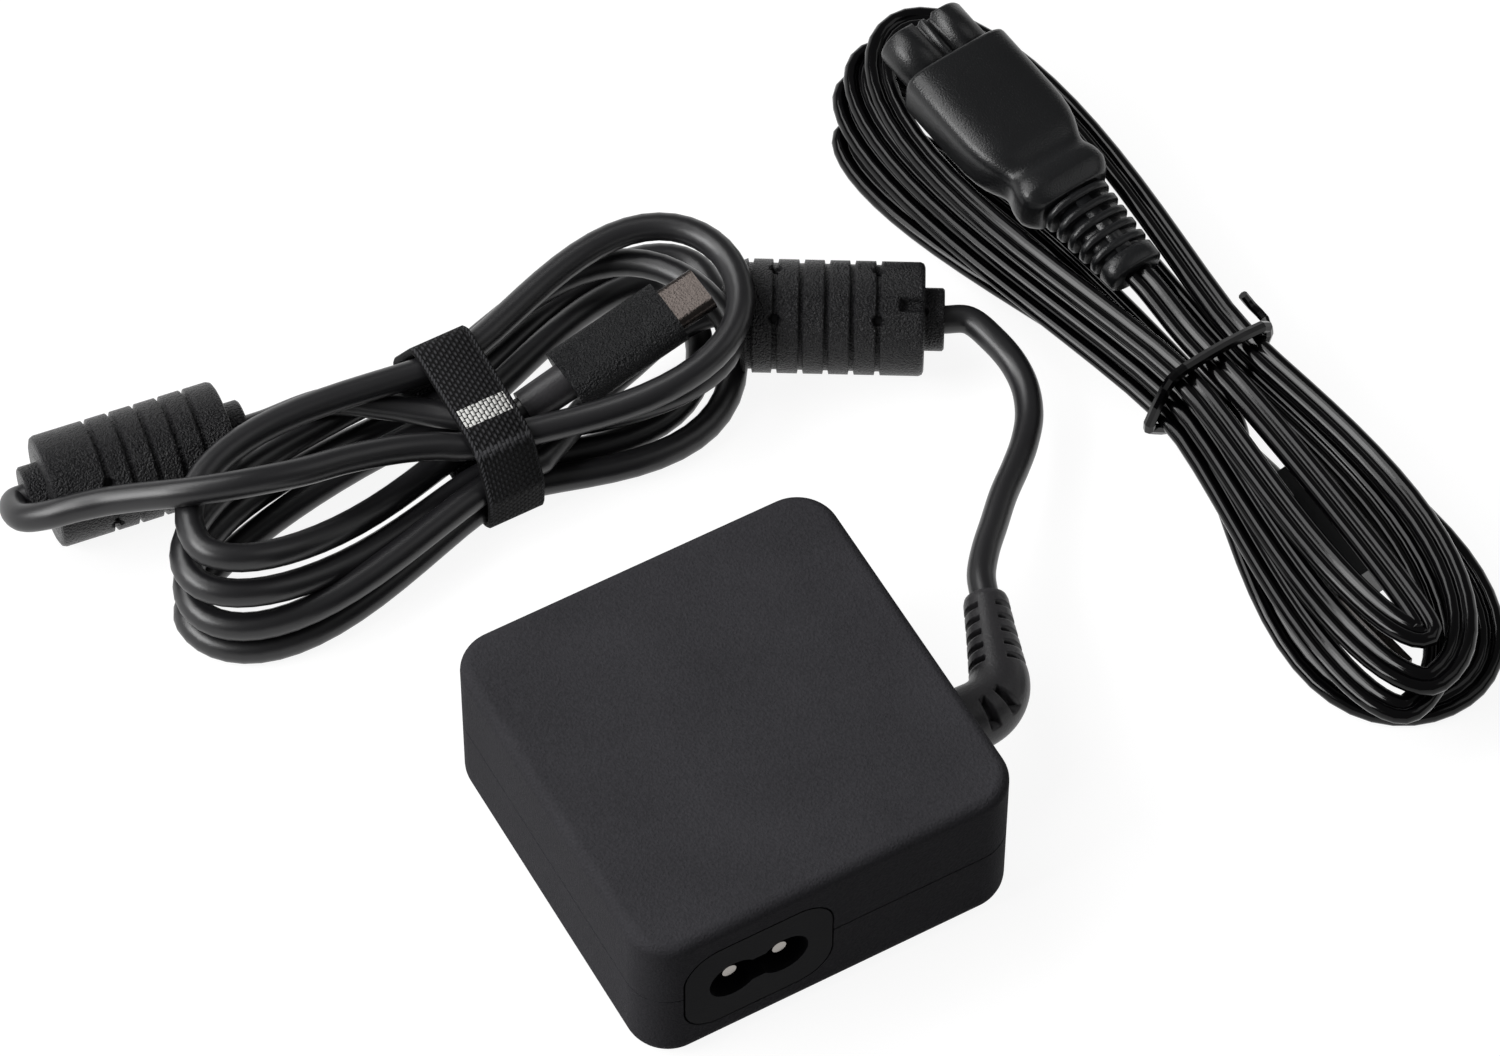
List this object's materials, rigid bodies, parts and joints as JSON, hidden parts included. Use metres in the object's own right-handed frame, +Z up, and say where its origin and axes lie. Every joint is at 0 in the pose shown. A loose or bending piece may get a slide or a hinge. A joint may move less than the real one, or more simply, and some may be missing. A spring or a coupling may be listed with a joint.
{
  "type": "laptop power adapter",
  "caption": "Small square laptop power adapter with a captive output lead, two ferrites and a small oblong plug, tied in a hank, and a separate flat mains lead tied in a hank.",
  "frame": {"origin": "middle of the case's flat underside", "axes": "+Z up, -Y out of the mains inlet, +X out of the output lead's boot"},
  "size_m": [0.2025, 0.161, 0.031],
  "materials": {
    "case_plastic": "fine moulded texture",
    "inlet_plastic": "satin",
    "pin_metal": "nickel plated",
    "board": "satin",
    "sheet_film": "satin",
    "fuse_body": "glazed",
    "yellow_film": "satin",
    "ferrite": "unglazed",
    "copper": "enamelled wire",
    "black_epoxy": "satin",
    "capacitor_sleeve": "glossy sleeve",
    "bare_aluminium": "brushed",
    "blue_disc": "glossy",
    "wire_cover": "satin",
    "boot_rubber": "satin",
    "lead_jacket": "satin",
    "cover_plastic": "fine moulded texture",
    "plug_plastic": "fine moulded texture",
    "nickel": "nickel plated",
    "insert_plastic": "satin",
    "strap_fabric": "woven hook and loop",
    "mains_plastic": "satin",
    "mains_jacket": "glossy vinyl",
    "contact_metal": "satin"
  },
  "bodies": {
    "adapter": {"upper_shell": "case_plastic", "lower_shell": "case_plastic", "inlet_body": "inlet_plastic", "inlet_pins": "pin_metal", "main_board": "board", "insulating_sheet": "sheet_film", "mains_fuse": "fuse_body", "x_capacitor": "yellow_film", "emi_choke_core": "ferrite", "emi_choke_winding": "copper", "bridge_rectifier": "black_epoxy", "bulk_capacitor": "capacitor_sleeve", "transformer_base": "black_epoxy", "transformer_core": "ferrite", "transformer_winding": "yellow_film", "heat_spreader": "bare_aluminium", "power_transistor": "black_epoxy", "safety_capacitor": "blue_disc", "output_capacitors": "capacitor_sleeve", "controller_board": "board", "output_wires": "wire_cover", "output_boot": "boot_rubber", "lead_first_stretch": "lead_jacket", "ferrite_cover_near": "cover_plastic", "ferrite_core_near": "ferrite", "lead_through_near": "lead_jacket", "lead_hank": "lead_jacket", "lead_reach": "lead_jacket", "ferrite_cover_far": "cover_plastic", "ferrite_core_far": "ferrite", "lead_through_far": "lead_jacket", "lead_plug_stretch": "lead_jacket", "plug_boot": "boot_rubber", "plug_cover": "plug_plastic", "plug_shell": "nickel", "plug_insert": "insert_plastic", "cord_strap": "strap_fabric"},
    "mains_lead": {"mains_connector": "mains_plastic", "connector_contacts": "contact_metal", "connector_boot": "mains_plastic", "mains_lead_stretch": "mains_jacket", "mains_hank": "mains_jacket", "mains_plug_stretch": "mains_jacket", "mains_plug": "mains_plastic", "plug_blades": "nickel", "mains_tie": "mains_jacket"}
  },
  "joints": [
    {"name": "mains_lift", "type": "slide", "parent": "adapter", "child": "mains_lead", "axis": [0, 0, 1], "range_m": [0, 0.12]}
  ]
}
